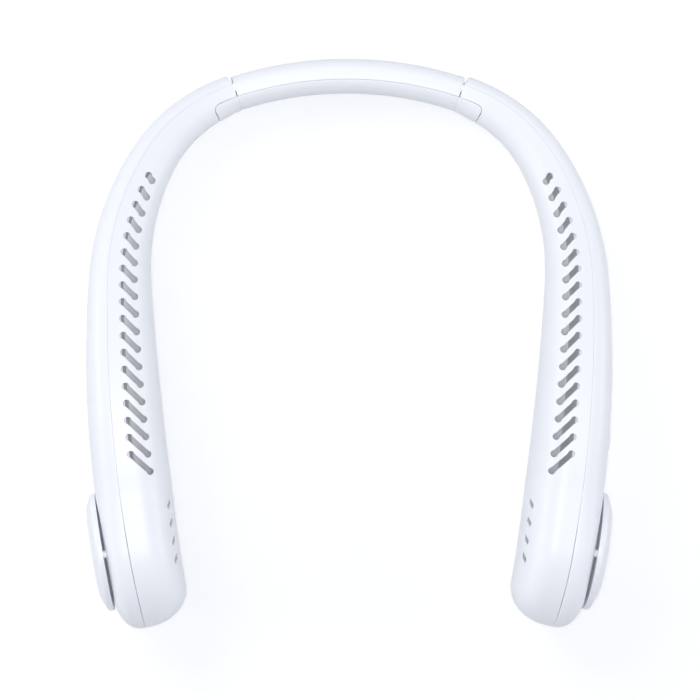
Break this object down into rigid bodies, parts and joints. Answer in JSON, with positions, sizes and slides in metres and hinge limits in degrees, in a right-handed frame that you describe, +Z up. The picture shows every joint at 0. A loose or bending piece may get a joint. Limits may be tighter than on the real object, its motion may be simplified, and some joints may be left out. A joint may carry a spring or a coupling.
{
  "type": "electric neck fan",
  "caption": "Neck-worn bladeless-style fan: a curved band hinged to two hollow arms with slanted air slots, a centrifugal fan and round intake cover at each tip.",
  "frame": {"origin": "middle of the bounding box on the surface the fan lies on", "axes": "+Z up off the surface, +Y towards the neck band, +X towards the arm that carries the button"},
  "size_m": [0.1891, 0.206, 0.0504],
  "materials": {
    "shell_white": "gloss moulded white",
    "pad_white": "soft satin white",
    "cover_white": "gloss moulded white",
    "duct_plastic": "moulded light grey",
    "impeller_plastic": "moulded grey",
    "hinge_plastic": "moulded nylon",
    "steel": "turned",
    "motor_can": "plated can",
    "cell_wrap": "shrink wrap",
    "wire_red": "wire jacket",
    "board_green": "solder mask",
    "switch_black": "moulded black",
    "button_grey": "gloss moulded",
    "light_clear": "clear light pipe"
  },
  "bodies": {
    "band": {"band_rear_shell": "shell_white", "band_neck_pad": "pad_white", "band_wires": "wire_red", "left_hinge_knuckle": "hinge_plastic", "right_hinge_knuckle": "hinge_plastic", "left_hinge_tongue": "pad_white", "right_hinge_tongue": "pad_white"},
    "left_arm": {"left_inner_shell": "shell_white", "left_outer_shell": "shell_white", "left_intake_cover": "cover_white", "left_intake_guard": "duct_plastic", "left_volute": "duct_plastic", "left_motor": "motor_can", "left_hinge_fork": "hinge_plastic", "left_hinge_pin": "steel", "left_battery": "cell_wrap", "left_air_divider": "duct_plastic", "left_arm_wires": "wire_red"},
    "right_arm": {"right_inner_shell": "shell_white", "right_outer_shell": "shell_white", "right_intake_cover": "cover_white", "right_intake_guard": "duct_plastic", "right_volute": "duct_plastic", "right_motor": "motor_can", "right_hinge_fork": "hinge_plastic", "right_hinge_pin": "steel", "right_battery": "cell_wrap", "right_air_divider": "duct_plastic", "right_arm_wires": "wire_red", "control_board": "board_green", "tact_switch": "switch_black", "charge_socket": "steel", "light_pipe": "light_clear"},
    "left_fan": {"left_impeller": "impeller_plastic", "left_motor_shaft": "steel"},
    "right_fan": {"right_impeller": "impeller_plastic", "right_motor_shaft": "steel"},
    "button": {"power_button": "button_grey"}
  },
  "joints": [
    {"name": "left_arm_hinge", "type": "hinge", "parent": "band", "child": "left_arm", "pos_m": [-0.04138, 0.09179, 0.01], "axis": [0, 0, -1], "range_deg": [0, 12]},
    {"name": "right_arm_hinge", "type": "hinge", "parent": "band", "child": "right_arm", "pos_m": [0.04138, 0.09179, 0.01], "axis": [0, 0, 1], "range_deg": [0, 12]},
    {"name": "left_fan_spin", "type": "hinge", "parent": "left_arm", "child": "left_fan", "pos_m": [-0.07456, -0.07371, 0.025], "axis": [-0.9861, -0.1663, 0], "continuous": true},
    {"name": "right_fan_spin", "type": "hinge", "parent": "right_arm", "child": "right_fan", "pos_m": [0.07456, -0.07371, 0.025], "axis": [0.9861, -0.1663, 0], "continuous": true},
    {"name": "power_button_press", "type": "slide", "parent": "right_arm", "child": "button", "axis": [-0.9952, 0.098, 0], "range_m": [0, 0.0004], "stiffness_N_per_m": 400, "springref_m": -0.001}
  ]
}
